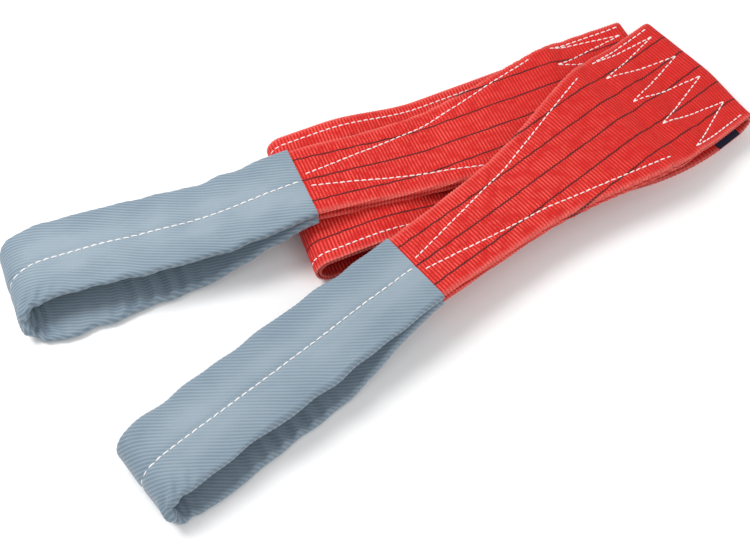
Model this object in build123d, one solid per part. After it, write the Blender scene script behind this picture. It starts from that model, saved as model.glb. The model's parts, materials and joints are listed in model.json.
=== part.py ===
from build123d import *
import os
from dataclasses import dataclass
from math import cos, radians, sin

# A two-ply flat web sling, laid down doubled and folded once more.
# From the bottom: outer return, inner return (joined at the middle fold on the left), leg A, leg B.
# Leg B comes round the outer fold and leg A round the inner fold, both on the right.
# Each leg narrows to a throat and goes on as an eye, a loop of folded webbing in a wear sleeve.
# Millimetres and degrees. +X runs along the returns to the right-hand folds, +Z is up,
# and the origin is on the face of the outer return that rests on the ground.

# Webbing
WEB_WIDTH = 150.0
PLY = 3.0
PLY_GAP = 0.3
NEST_GAP = 0.7
INNER_FOLD_GAP = 3.4

# Middle fold and returns
MIDDLE_FOLD_X = -211.0
MIDDLE_FOLD_HEIGHT = 34.0
RETURN_Y = -3.0
RAMP_FOOT_X = -64.0
OUTER_FOLD_STRAIGHT = 30.0
OUTER_RETURN_TURN_RADIUS = 200.0

# Leg A, over the inner fold: its throat stands just past the middle fold, clear of it
INNER_FOLD_X = 170.0
INNER_FOLD_Y = 24.0
HEADING_A = 3.3
THROAT_A_PAST_FOLD = 0.5
THROAT_A_CLEARANCE = 3.3
TAPER_A_START = 61.5
EYE_A_LENGTH = 286.0

# Leg B, over the outer fold: it lifts over leg A's thicker part and ends clear of the returns' edge
OUTER_FOLD_X = 211.5
OUTER_FOLD_Y = 9.5
HEADING_B = 19.6
EYE_B_CLEARANCE = 0.5
TAPER_B_START = 90.0
EYE_B_LENGTH = 305.5
LIFT_B_START = 46.0
LIFT_B_END = 80.0
LEG_CLEARANCE = 0.1
PARTING_B_LENGTH = 95.0

# Taper of a leg: share of the taper's length from the throat, share of the full widening
EYE_WEB_WIDTH = 75.0
TAPER = ((0.0, 0.0), (0.2, 0.1), (0.42, 0.18), (0.6, 0.4), (0.75, 0.65), (0.9, 0.9), (1.0, 1.0))
FLAP_START = 0.9
FLAP_RUN_IN = 32.0
FLAP_MIDDLE_GAP = 0.5
RUN_MIN = 1.0

# Eyes
THROAT_STRAP_GAP = 4.0
SLEEVE_WALL = 1.5
SLEEVE_CLEARANCE = 0.2
SLEEVE_SIDE_CLEARANCE = 2.0
SLEEVE_END_GAP = 0.3
NOSE_RADIUS = 13.0
NOSE_STRAIGHT = 0.2
THROAT_STRAIGHT = 12.0
THROAT_BEND_RADIUS = 40.0
LANDING = 120.0
LANDING_RADIUS = 140.0

# Sewing thread
THREAD_WIDTH = 1.2
THREAD_HEIGHT = 0.6
EDGE_SEAM_INSET = 10.0
SEAM_START = 3.0
ROW_CLEARANCE = 0.9

# Points of the zigzag: distance from the fold, share of the way from the middle to the edge rows
ZIGZAG = (
    (82.0, 1.0),
    (3.0, 0.84),
    (84.0, 0.67),
    (3.0, 0.35),
    (85.0, 0.12),
    (3.0, -0.14),
    (82.0, -0.42),
    (4.0, -0.68),
    (78.0, -1.0),
)
ZIGZAG_INSET = 6.0
DIAGONAL_START = 108.0
DIAGONAL_END_GAP = 3.0
DIAGONAL_OUTER = 63.0
DIAGONAL_INNER = 7.0
FLOOR_CLEAR = 6.0

# Identification label, blank
LABEL_WIDTH = 30.0
LABEL_LENGTH = 60.0
LABEL_THICKNESS = 0.6
LABEL_PROUD = 1.5
LABEL_FROM_FOLD = 10.0
LABEL_SEAM_INSET = 5.0

BASE = (Align.CENTER, Align.CENTER, Align.MIN)
HALF_WEB = WEB_WIDTH / 2
PITCH = PLY + PLY_GAP
RETURN_PLIES = 2
TOP_LAYER = 2 * RETURN_PLIES - 1
FLAP_ROOM = 2 * PLY + PLY_GAP
REACH = 10 * WEB_WIDTH


def layer_z(layer):
    """Underside of a return ply, counted from the ground: two of the outer return, two of the inner."""
    return layer * PITCH + (NEST_GAP if layer >= RETURN_PLIES else 0)


STACK_TOP = layer_z(TOP_LAYER) + PLY
FOLD_AXIS_Z = STACK_TOP + INNER_FOLD_GAP / 2


def over_fold(layer):
    """Underside of the leg ply that the return ply becomes beyond its fold."""
    return 2 * FOLD_AXIS_Z - layer_z(layer) - PLY


@dataclass
class Leg:
    """One leg and its eye: where its fold is, how it runs and how it rises to the throat."""

    name: str
    fold_x: float
    fold_y: float
    heading: float
    outer_layer: int
    length: float
    taper_start: float
    eye_length: float
    climb_start: float
    throat_climb: float = 0.0
    lift_start: float = 20.0
    lift_end: float = 40.0
    lift: float = 0.0

    def place(self, shape):
        """From the leg's own frame, +X from the fold to the eye, to the sling's frame."""
        return Location((self.fold_x, self.fold_y, 0), (0, 0, 180 + self.heading)) * shape

    def half_width(self, share):
        widening = (WEB_WIDTH - EYE_WEB_WIDTH) / 2
        return EYE_WEB_WIDTH / 2 + widening * share

    def edge(self):
        """Distance from the fold and half width, from the fold to the throat."""
        taper = [(self.from_throat(at), self.half_width(share)) for at, share in TAPER]
        return [(0.0, HALF_WEB)] + taper[::-1]

    def from_throat(self, share):
        """Distance from the fold of a place given as a share of the taper's length."""
        return self.length - share * (self.length - self.taper_start)

    def flap_start(self):
        return self.from_throat(FLAP_START)

    def lower_line(self):
        """Underside of the lower ply."""
        base = over_fold(self.outer_layer + 1)
        return [
            (0.0, base),
            (self.lift_start, base),
            (self.lift_end, base + self.lift),
            (self.climb_start, base + self.lift),
            (self.length, base + self.lift + self.throat_climb),
        ]

    def upper_line(self):
        """Underside of the upper ply, which parts from the lower one to make room for the flaps."""
        base = over_fold(self.outer_layer)
        flaps = FLAP_ROOM - PLY_GAP
        throat = self.lower_line()[-1][1] + 3 * PLY + THROAT_STRAP_GAP
        return [
            (0.0, base),
            (self.lift_start, base),
            (self.lift_end, base + self.lift),
            (max(self.flap_start() - FLAP_RUN_IN, self.lift_end + RUN_MIN), base + self.lift),
            (self.flap_start(), base + self.lift + flaps),
            (max(self.climb_start, self.flap_start() + RUN_MIN), base + self.lift + flaps),
            (self.length, throat),
        ]


def sleeve_half_width():
    return EYE_WEB_WIDTH / 2 + SLEEVE_SIDE_CLEARANCE + SLEEVE_WALL


def leg_b_length():
    """Far enough along its slanting way for the sleeve to pass the near edge of the returns."""
    eye_y = RETURN_Y - HALF_WEB - EYE_B_CLEARANCE - sleeve_half_width() * cos(radians(HEADING_B))
    return (OUTER_FOLD_Y - eye_y) / sin(radians(HEADING_B))


LEG_A = Leg(
    name="a",
    fold_x=INNER_FOLD_X,
    fold_y=INNER_FOLD_Y,
    heading=HEADING_A,
    outer_layer=RETURN_PLIES,
    length=INNER_FOLD_X - MIDDLE_FOLD_X + THROAT_A_PAST_FOLD,
    taper_start=TAPER_A_START,
    eye_length=EYE_A_LENGTH,
    climb_start=INNER_FOLD_X - RAMP_FOOT_X,
    throat_climb=MIDDLE_FOLD_HEIGHT + THROAT_A_CLEARANCE - over_fold(TOP_LAYER),
)

LEG_B = Leg(
    name="b",
    fold_x=OUTER_FOLD_X,
    fold_y=OUTER_FOLD_Y,
    heading=HEADING_B,
    outer_layer=0,
    length=leg_b_length(),
    taper_start=TAPER_B_START,
    eye_length=EYE_B_LENGTH,
    climb_start=leg_b_length() - PARTING_B_LENGTH,
    lift_start=LIFT_B_START,
    lift_end=LIFT_B_END,
    lift=2 * PLY + LEG_CLEARANCE,
)


def band(line, thickness, width=REACH):
    """A layer whose underside follows a line of distance and height."""
    top = [(s, z + thickness) for s, z in reversed(line)]
    return extrude(Plane.XZ * make_face(Polyline(*line, *top, close=True)), width / 2, both=True)


def raised(line, height):
    return [(s, z + height) for s, z in line]


def prism(outline):
    """Everything above and below a plan outline."""
    return extrude(make_face(Polyline(*outline, close=True)), REACH, both=True)


def half_ring(outer, thickness, width):
    """Half a turn of webbing about the Y axis, on the -X side."""
    ring = Circle(outer) - Circle(outer - thickness)
    half = ring & Pos(-outer, 0) * Rectangle(2 * outer, 4 * outer)
    return extrude(Plane.XZ * half, width / 2, both=True)


def strip(start, end, width):
    """Plan of one straight row of thread."""
    direction = (Vector(*end) - Vector(*start)).normalized()
    side = Vector(-direction.Y, direction.X) * (width / 2)
    corners = (Vector(*start) + side, Vector(*end) + side, Vector(*end) - side, Vector(*start) - side)
    return prism([(corner.X, corner.Y) for corner in corners])


def outer_return_plan():
    """The outer return leaves its fold square to it, turns in plane and runs to the middle fold."""
    heading = radians(LEG_B.heading)
    along = Vector(-cos(heading), -sin(heading))
    across = Vector(-sin(heading), cos(heading))
    fold = Vector(LEG_B.fold_x, LEG_B.fold_y)
    turn = fold + along * OUTER_FOLD_STRAIGHT
    centre = turn + across * OUTER_RETURN_TURN_RADIUS
    edges = []
    for side in (-1, 1):
        radius = OUTER_RETURN_TURN_RADIUS - side * HALF_WEB
        arc = CenterArc((centre.X, centre.Y), radius, -90, LEG_B.heading)
        edges.append(arc)
        edges.append(Line(arc @ 1, fold + across * (side * HALF_WEB)))
        edges.append(Line(arc @ 0, (MIDDLE_FOLD_X, RETURN_Y + side * HALF_WEB)))
    edges.append(Line(fold - across * HALF_WEB, fold + across * HALF_WEB))
    edges.append(Line((MIDDLE_FOLD_X, RETURN_Y - HALF_WEB), (MIDDLE_FOLD_X, RETURN_Y + HALF_WEB)))
    return make_face(edges)


def inner_return_plan(near=-HALF_WEB, far=HALF_WEB):
    """From the middle fold to the inner fold, between two distances from the web's middle."""
    heading = radians(LEG_A.heading)
    at_fold = [(LEG_A.fold_x - y * sin(heading), LEG_A.fold_y + y * cos(heading)) for y in (near, far)]
    return prism([(MIDDLE_FOLD_X, RETURN_Y + near), *at_fold, (MIDDLE_FOLD_X, RETURN_Y + far)])


def inner_return_line(layer):
    """Underside of an inner return ply; layer 0 goes round the outside of the middle fold."""
    top = MIDDLE_FOLD_HEIGHT - layer * PITCH - PLY
    flat = layer_z(TOP_LAYER - layer)
    return [(MIDDLE_FOLD_X, top), (RAMP_FOOT_X, flat), (LEG_A.fold_x + HALF_WEB, flat)]


def middle_ply(layer):
    outer_return = Pos(0, 0, layer * PITCH) * extrude(outer_return_plan(), PLY)
    radius = MIDDLE_FOLD_HEIGHT / 2
    ring = half_ring(radius - layer * PITCH, PLY, WEB_WIDTH)
    fold = Pos(MIDDLE_FOLD_X, RETURN_Y, radius) * ring
    inner_return = band(inner_return_line(layer), PLY) & inner_return_plan()
    return outer_return + fold + inner_return


def middle_edge_seams():
    """A row of thread along each edge, over the inner return and round the middle fold."""
    rows = []
    radius = MIDDLE_FOLD_HEIGHT / 2
    top = band(raised(inner_return_line(0), PLY), THREAD_HEIGHT)
    ring = Pos(MIDDLE_FOLD_X, 0, radius) * half_ring(radius + THREAD_HEIGHT, THREAD_HEIGHT, REACH)
    off_floor = Pos(MIDDLE_FOLD_X, 0, FLOOR_CLEAR + REACH / 2) * Box(REACH, REACH, REACH)
    for side in (-1, 1):
        y = side * (HALF_WEB - EDGE_SEAM_INSET)
        row = top & inner_return_plan(y - THREAD_WIDTH / 2, y + THREAD_WIDTH / 2)
        over = Pos(MIDDLE_FOLD_X - radius, RETURN_Y + y, radius) * Box(2 * radius, THREAD_WIDTH, REACH)
        rows.append(row + (ring & over & off_floor))
    return Compound(children=[solid for row in rows for solid in row.solids()])


def fold_ply(leg, layer):
    """One ply's half turn over the fold of a leg; layer 0 is the leg's upper ply."""
    radius = FOLD_AXIS_Z - layer_z(leg.outer_layer + layer)
    ring = half_ring(radius, PLY, WEB_WIDTH)
    return leg.place(Pos(0, 0, FOLD_AXIS_Z) * ring)


def leg_plan(leg):
    edge = leg.edge()
    return prism([(s, half) for s, half in edge] + [(s, -half) for s, half in reversed(edge)])


def flap_plans(leg):
    """The edges of the webbing turned in over each other, narrowing away from the throat."""
    edge = [(s, half) for s, half in leg.edge() if s >= leg.flap_start()]
    turned = [(s, 2 * half - HALF_WEB + FLAP_MIDDLE_GAP / 2) for s, half in edge]
    for side in (-1, 1):
        yield prism([(s, side * t) for s, t in edge + turned[::-1]])


def leg_ply(leg, line, flap_side):
    """One tapered ply with its turned-in edges, flap_side 1 above it or -1 below it."""
    ply = band(line, PLY) & leg_plan(leg)
    flap_layer = band(raised(line, flap_side * PLY), PLY)
    for flap in flap_plans(leg):
        ply = ply + (flap_layer & flap)
    return leg.place(ply)


def thread_rows(leg, rows):
    """Rows of thread on top of the leg's upper ply, each given by its two ends."""
    top = band(raised(leg.upper_line(), PLY), THREAD_HEIGHT)
    sewn = [top & strip(start, end, THREAD_WIDTH) for start, end in rows]
    joined = sewn[0]
    for row in sewn[1:]:
        joined = joined + row
    return leg.place(joined)


def edge_row_y():
    return HALF_WEB - ZIGZAG_INSET


def zigzag_rows():
    """A zigzag across the whole web, its points alternately away from the fold and at it."""
    points = [(distance, share * edge_row_y()) for distance, share in ZIGZAG]
    return list(zip(points, points[1:]))


def edge_rows():
    """A row along each edge, from the fold to just short of the zigzag's outermost point."""
    zigzag = zigzag_rows()
    rows = []
    for tip, inner in (zigzag[0], zigzag[-1][::-1]):
        slant = Vector(*inner) - Vector(*tip)
        gap = (THREAD_WIDTH + ROW_CLEARANCE) * slant.length / abs(slant.Y)
        rows.append(((SEAM_START, tip[1]), (tip[0] - gap, tip[1])))
    return rows


def diagonal_rows(leg):
    end = leg.length - DIAGONAL_END_GAP
    return [((DIAGONAL_START, side * DIAGONAL_OUTER), (end, side * DIAGONAL_INNER)) for side in (-1, 1)]


def strap_half_height():
    return PLY + SLEEVE_CLEARANCE + SLEEVE_WALL


def eye_path(leg):
    """Middle line of the folded webbing, from the lower ply's end round the nose to the upper's."""
    lower = leg.lower_line()[-1][1] + PLY
    upper = leg.upper_line()[-1][1]
    floor = strap_half_height()
    tip = leg.length + leg.eye_length - strap_half_height()
    nose_top = floor + 2 * NOSE_RADIUS + NOSE_STRAIGHT
    points = [
        (leg.length, 0, lower),
        (leg.length + THROAT_STRAIGHT, 0, lower),
        (leg.length + LANDING, 0, floor),
        (tip, 0, floor),
        (tip, 0, nose_top),
        (leg.length + THROAT_STRAIGHT, 0, upper),
        (leg.length, 0, upper),
    ]
    radii = [THROAT_BEND_RADIUS, LANDING_RADIUS, NOSE_RADIUS, NOSE_RADIUS, THROAT_BEND_RADIUS]
    return FilletPolyline(*points, radius=radii)


def swept(path, width, height):
    plane = Plane(origin=path @ 0, x_dir=(0, 1, 0), z_dir=path % 0)
    return sweep(plane * Rectangle(width, height), path=path)


def eye_webbing(leg):
    return leg.place(swept(eye_path(leg), EYE_WEB_WIDTH, 2 * PLY))


def beyond_throat(leg):
    return Pos(leg.length + SLEEVE_END_GAP + REACH / 2, 0, 0) * Box(REACH, REACH, REACH)


def eye_sleeve(leg):
    """A flat tube drawn over the whole loop."""
    path = eye_path(leg)
    inner_width = 2 * (sleeve_half_width() - SLEEVE_WALL)
    inner_height = 2 * (PLY + SLEEVE_CLEARANCE)
    outside = swept(path, inner_width + 2 * SLEEVE_WALL, inner_height + 2 * SLEEVE_WALL)
    inside = swept(path, inner_width, inner_height)
    return leg.place((outside - inside) & beyond_throat(leg))


def eye_sleeve_seam(leg):
    """The row of thread down the middle of the sleeve's outer face, clear of the ground."""
    path = eye_path(leg)
    height = 2 * strap_half_height()
    proud = swept(path, THREAD_WIDTH, height + 2 * THREAD_HEIGHT)
    row = proud - swept(path, 2 * THREAD_WIDTH, height)
    cut_low = Pos(0, 0, FLOOR_CLEAR + NOSE_RADIUS + REACH / 2) * Box(2 * REACH, REACH, REACH)
    rows = (row & beyond_throat(leg) & cut_low).solids()
    return leg.place(max(rows, key=lambda solid: solid.bounding_box().max.Z))


def label():
    """A blank label, sewn to the outer return beside the inner fold and lying proud of the edge."""
    y = HALF_WEB + LABEL_PROUD - LABEL_LENGTH / 2
    low = Pos(LABEL_FROM_FOLD + LABEL_WIDTH / 2, y, layer_z(1) + PLY)
    tag = Box(LABEL_WIDTH, LABEL_LENGTH, LABEL_THICKNESS, align=BASE)
    return LEG_B.place(low * tag)


def label_seam():
    y = HALF_WEB + LABEL_PROUD - LABEL_LENGTH + LABEL_SEAM_INSET
    z = layer_z(1) + PLY + LABEL_THICKNESS
    x = LABEL_FROM_FOLD + LABEL_WIDTH / 2
    row = Box(LABEL_WIDTH - 2 * THREAD_WIDTH, THREAD_WIDTH, THREAD_HEIGHT, align=BASE)
    return LEG_B.place(Pos(x, y, z) * row)


os.makedirs("parts", exist_ok=True)

nodes = {
    "middle_outer_ply": middle_ply(0),
    "middle_inner_ply": middle_ply(1),
    "middle_edge_seams": middle_edge_seams(),
    "identification_label": label(),
    "label_seam": label_seam(),
}
for leg, fold in ((LEG_A, "inner_fold"), (LEG_B, "outer_fold")):
    nodes[fold + "_outer_ply"] = fold_ply(leg, 0)
    nodes[fold + "_inner_ply"] = fold_ply(leg, 1)
    part = "leg_" + leg.name
    nodes[part + "_upper_ply"] = leg_ply(leg, leg.upper_line(), -1)
    nodes[part + "_lower_ply"] = leg_ply(leg, leg.lower_line(), 1)
    nodes[part + "_zigzag_seam"] = thread_rows(leg, zigzag_rows())
    nodes[part + "_diagonal_seams"] = thread_rows(leg, diagonal_rows(leg))
    nodes[part + "_edge_seams"] = thread_rows(leg, edge_rows())
    eye = "eye_" + leg.name
    nodes[eye + "_webbing"] = eye_webbing(leg)
    nodes[eye + "_sleeve"] = eye_sleeve(leg)
    nodes[eye + "_sleeve_seam"] = eye_sleeve_seam(leg)

for name, shape in nodes.items():
    export_step(shape, os.path.join("parts", name + ".step"))
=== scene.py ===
import json
import math

import bpy
import numpy as np
from mathutils import Matrix, Vector


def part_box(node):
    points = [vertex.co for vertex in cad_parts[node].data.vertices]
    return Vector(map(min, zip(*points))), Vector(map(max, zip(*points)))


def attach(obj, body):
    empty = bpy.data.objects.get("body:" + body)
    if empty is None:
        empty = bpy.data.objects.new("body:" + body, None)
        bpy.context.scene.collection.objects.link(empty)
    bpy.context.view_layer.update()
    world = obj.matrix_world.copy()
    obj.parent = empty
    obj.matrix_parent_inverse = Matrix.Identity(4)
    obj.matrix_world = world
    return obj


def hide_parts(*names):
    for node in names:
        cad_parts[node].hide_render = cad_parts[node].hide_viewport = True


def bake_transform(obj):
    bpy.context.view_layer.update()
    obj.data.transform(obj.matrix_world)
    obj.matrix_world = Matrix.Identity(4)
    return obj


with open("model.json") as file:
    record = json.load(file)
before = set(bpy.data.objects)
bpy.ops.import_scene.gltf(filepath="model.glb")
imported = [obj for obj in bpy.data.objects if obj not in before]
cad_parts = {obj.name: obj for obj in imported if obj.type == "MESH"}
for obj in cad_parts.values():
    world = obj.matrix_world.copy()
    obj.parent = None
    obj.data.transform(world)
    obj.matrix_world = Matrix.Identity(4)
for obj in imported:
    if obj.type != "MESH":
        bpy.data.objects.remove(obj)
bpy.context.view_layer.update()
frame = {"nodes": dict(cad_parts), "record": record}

# ---------------------------------------------------------------- sizes, in millimetres

MM = 0.001

# Webbing: each ply fills PLY, and its cloth is thinner by what its ribs add
HALF_WEB = 75.0
PLY = 3.0
PLY_GAP = 0.3
NEST_GAP = 0.7
CLOTH = 2.3
SELVEDGE = 2.5
# Width of the worn, fuzzy band along the webbing's edges and of the painted highlight on it
EDGE_WEAR_AND_HIGHLIGHT_WIDTH = 2.2
RIB_PITCH = 3.4
RIB_HEIGHT = 0.52
RIB_SAMPLES = 6
WEB_STEP = 2.4
WEB_SHARP = 55

# Middle of the sling
RETURN_Y = -3.0
RAMP_FOOT_X = -64.0
STRAIGHT = 30.0
TURN_RADIUS = 200.0
EDGE_SEAM_INSET = 10.0
EDGE_SEAM_START = 24.0

# Legs; TAPER gives the half width at shares of the taper's length, counted from the throat
TAPER = ((1.0, 75.0), (0.9, 71.0), (0.75, 61.5), (0.6, 51.5), (0.42, 43.5), (0.2, 40.0), (0.0, 37.5))
FLAP_START = 0.9
FLAP_RUN_IN = 32.0
THROAT_STRAP_GAP = 4.0
THROAT_RUN = 22.0
INSIDE_SLEEVE = 20.0
UPPER_BEND = 2.0
LOWER_BEND = 6.0
FOLD_PULL = 9.0
FOLD_PULL_REACH = 62.0

# How a leg's upper ply lies between its rows of stitches
PLY_SEED = 11
FREE_RUN = 40.0
PLY_SWELL = 0.7
PLY_LOOSENESS = 0.5
PLY_PUCKER = 0.5
PLY_PUCKER_LENGTH = 23.0
ROW_DEPTH = 0.75
ROW_WIDTH = 3.2

# Eyes
SLEEVE_HALF_WIDTH = 41.0
SLEEVE_HALF_HEIGHT = 4.7
SLEEVE_WALL = 1.5
SLEEVE_SLACK = 0.35
SLEEVE_SIDE_SLACK = 0.4
SLEEVE_AROUND = 256
SLEEVE_STEP = 1.2
SLEEVE_SHARP = 70
SLEEVE_RIDGE = 3.0
SLEEVE_RIDGE_HEIGHT = 0.34
FLOOR_GAP = 0.1
BEARING_GAP = 0.1
NOSE_RADIUS = 13.0
NOSE_STRAIGHT = 0.2
NOSE_DRIFT_RUN = 34.0
THROAT_STRAIGHT = 12.0
THROAT_BEND_RADIUS = 40.0
LANDING = 120.0
LANDING_RADIUS = 140.0
MOUTH_NARROWING = 60.0
CORE_HALF_WIDTH = 33.0
CORE_HALF_HEIGHT = 2.3
CORE_AROUND = 24
CORE_STEP = 4.0

# How the sleeves' cloth lies: heights, lengths of its waves and folds, and how far each reaches
SLEEVE_SWELL = 0.75
SLEEVE_CROWN = 0.6
SEAM_DEPTH = 0.9
SEAM_WIDTH = 3.0
MOUTH_RUN = 25.0
INNER_FOLD_HEIGHT = 2.3
INNER_FOLD_LENGTH = 16.0
INNER_FOLDS_FROM_NOSE = 128.0
INNER_FOLDS_REACH = 46.0
PUCKER_LENGTH = 9.0
PUCKER_REACH = 28.0
CRUMPLE_HEIGHT = 1.5
CRUMPLE_LENGTH = 14.0
CRUMPLE_REACH = 26.0
EDGE_WAVE = 1.5
EDGE_WAVE_RUN = 50.0
NIP_LENGTH = 16.0

# Stitches
STITCH = 6.8
SLEEVE_STITCH = 7.4
STITCH_LENGTH = 6.0
THREAD_RADIUS = 0.66
THREAD_LIFT = 0.35
LOWEST_SLEEVE_STITCH = 3.2

# Zigzag of a leg: distance from the fold, share of the way from the middle to the edge rows
ZIGZAG = (
    (82.0, 1.0),
    (3.0, 0.84),
    (84.0, 0.67),
    (3.0, 0.35),
    (85.0, 0.12),
    (3.0, -0.14),
    (82.0, -0.42),
    (4.0, -0.68),
    (78.0, -1.0),
)
ZIGZAG_INSET = 6.0
EDGE_ROW_END = 76.0
DIAGONAL_START = 108.0
DIAGONAL_END_GAP = 4.0
DIAGONAL_OUTER = 63.0
DIAGONAL_BOW = 29.0
DIAGONAL_INNER = 7.0

records = {joint["name"]: joint for joint in frame["record"]["behaviour"]["joints"]}
mounts = {mount["name"]: mount for mount in frame["record"]["mounts"]}


def layer_z(layer):
    """Underside of a return ply, counted from the ground."""
    return layer * (PLY + PLY_GAP) + (NEST_GAP if layer > 1 else 0.0)


def smoothstep(x):
    x = np.clip(x, 0.0, 1.0)
    return x * x * (3.0 - 2.0 * x)


def curve_through(points):
    """A smooth function through points of distance and value, level where its neighbours turn."""
    at = np.array([p[0] for p in points], float)
    value = np.array([p[1] for p in points], float)
    slope = np.diff(value) / np.diff(at)
    tangent = np.zeros(len(at))
    tangent[0], tangent[-1] = slope[0], slope[-1]
    for i in range(1, len(at) - 1):
        if slope[i - 1] * slope[i] > 0:
            tangent[i] = 2 * slope[i - 1] * slope[i] / (slope[i - 1] + slope[i])

    def read(x):
        x = np.clip(x, at[0], at[-1])
        i = np.clip(np.searchsorted(at, x) - 1, 0, len(at) - 2)
        span = at[i + 1] - at[i]
        u = (x - at[i]) / span
        return (
            value[i] * (1 + 2 * u) * (1 - u) ** 2
            + value[i + 1] * u * u * (3 - 2 * u)
            + tangent[i] * span * u * (1 - u) ** 2
            - tangent[i + 1] * span * u * u * (1 - u)
        )

    return read


def bump_at(x, centre, width):
    """1 at the centre, falling off smoothly over about the width on each side."""
    return np.exp(-((x - centre) / width) ** 2)


def wave(x, length):
    """Angle of a wave of that length at x."""
    return x * 2 * math.pi / length


def ripple(a, b, seed):
    """A low, smooth, repeatable unevenness between about -1 and 1."""
    rng = np.random.default_rng(seed)
    total = np.zeros(np.broadcast(a, b).shape)
    for _ in range(7):
        direction = rng.uniform(0, 2 * math.pi)
        length = rng.uniform(38, 120)
        phase = rng.uniform(0, 2 * math.pi)
        total = total + np.sin(wave(a * math.cos(direction) + b * math.sin(direction), length) + phase)
    return total / 4.0


# ---------------------------------------------------------------- the legs' frames

class Leg:
    """Where one leg's fold, throat and nose are, read from the part's joints and mounts.

    lift is (start, end, height) of its rise over the leg below, and climb is (length, height) of the
    rise to its throat. drifts is how far its upper and lower strap lie sideways at the nose.
    """

    def __init__(self, name, outer_layer, taper_start, lift, climb, drifts):
        self.name = name
        fold = records["leg_" + name + "_unfold"]
        lift_joint = records["eye_" + name + "_lift"]
        self.outer_layer = outer_layer
        self.fold = np.array(fold["pos_m"]) / MM
        self.across = np.array(fold["axis"], float)
        self.across /= np.linalg.norm(self.across)
        self.along = np.array((-self.across[1], self.across[0], 0.0))
        self.axis_z = self.fold[2]
        throat = np.array(lift_joint["pos_m"]) / MM
        self.length = float((throat - self.fold) @ self.along)
        nose = np.array(mounts["eye_" + name + "_bearing"]["pos_m"]) / MM
        self.nose = float((nose - self.fold) @ self.along) + 2 * SLEEVE_HALF_HEIGHT + BEARING_GAP
        self.drifts = drifts
        taper_length = self.length - taper_start
        lift_start, lift_end, lift_height = lift
        climb_length, climb_height = climb
        climb_start = self.length - climb_length
        self.flap_start = self.length - FLAP_START * taper_length
        low = self.over_fold(outer_layer + 1)
        high = self.over_fold(outer_layer)
        low_lifted = low + lift_height
        high_lifted = high + lift_height
        over_flaps = high_lifted + 2 * PLY
        self.throat_low = low_lifted + climb_height
        self.throat_high = self.throat_low + 3 * PLY + THROAT_STRAP_GAP
        self.lower_mid = curve_through([
            (0, low), (lift_start, low), (lift_end, low_lifted),
            (climb_start, low_lifted), (self.length, self.throat_low)])
        run_in = max(self.flap_start - FLAP_RUN_IN, lift_end + 1)
        self.upper_mid = curve_through([
            (0, high), (lift_start, high), (lift_end, high_lifted), (run_in, high_lifted),
            (self.flap_start, over_flaps), (max(climb_start, self.flap_start + 1), over_flaps),
            (self.length, self.throat_high)])
        self.half = curve_through(
            [(0.0, HALF_WEB)] + [(self.length - at * taper_length, half) for at, half in TAPER])

    def over_fold(self, layer):
        """Middle height of the leg ply that a return ply becomes beyond its fold."""
        return 2 * self.axis_z - layer_z(layer) - PLY / 2

    def fold_radius(self, layer):
        return self.axis_z - layer_z(layer) - PLY / 2

    def place(self, s, t, z):
        s, t, z = np.broadcast_arrays(np.asarray(s, float), np.asarray(t, float), np.asarray(z, float))
        flat = self.fold[:2] + s[..., None] * self.along[:2] + t[..., None] * self.across[:2]
        return np.concatenate([flat, z[..., None]], axis=-1)


LEG_A = Leg(
    "a", outer_layer=2, taper_start=61.5, lift=(20.0, 40.0, 0.0), climb=(147.5, 20.3), drifts=(25.0, -2.0))
LEG_B = Leg(
    "b", outer_layer=0, taper_start=90.0, lift=(46.0, 80.0, 6.1), climb=(95.0, 0.0), drifts=(3.0, -8.0))


def pulled_in(points):
    """The near corner of the outer fold lies a little short, as a fold that isn't quite square does."""
    from_fold = points - LEG_B.fold
    along = from_fold @ LEG_B.along
    across = from_fold @ LEG_B.across
    amount = FOLD_PULL * smoothstep(-across / HALF_WEB) * (1 - smoothstep(along / FOLD_PULL_REACH))
    return points + amount[..., None] * LEG_B.along


def diagonal_points(leg, side):
    """From the apex of the taper to the throat, bowed a little towards the middle."""
    end = leg.length - DIAGONAL_END_GAP
    halfway = 0.5 * (DIAGONAL_START + end)
    points = ((DIAGONAL_START, DIAGONAL_OUTER), (halfway, DIAGONAL_BOW), (end, DIAGONAL_INNER))
    return [(s, side * w) for s, w in points]


def leg_seams(leg):
    """Rows of stitches by the node that they stand for, as points of distance and place across."""
    edge = HALF_WEB - ZIGZAG_INSET
    return {
        "zigzag_seam": [[(s, share * edge) for s, share in ZIGZAG]],
        "edge_seams": [[(0.0, side * edge), (EDGE_ROW_END, side * edge)] for side in (-1, 1)],
        "diagonal_seams": [diagonal_points(leg, side) for side in (-1, 1)],
    }


def distance_to_rows(s, w, rows):
    """Distance from each point of a ply to the nearest row of stitches."""
    best = np.full(np.broadcast(s, w).shape, 1e9)
    for row in rows:
        for (s0, w0), (s1, w1) in zip(row, row[1:]):
            ds, dw = s1 - s0, w1 - w0
            u = np.clip(((s - s0) * ds + (w - w0) * dw) / (ds * ds + dw * dw), 0, 1)
            best = np.minimum(best, np.hypot(s - s0 - u * ds, w - w0 - u * dw))
    return best


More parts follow.
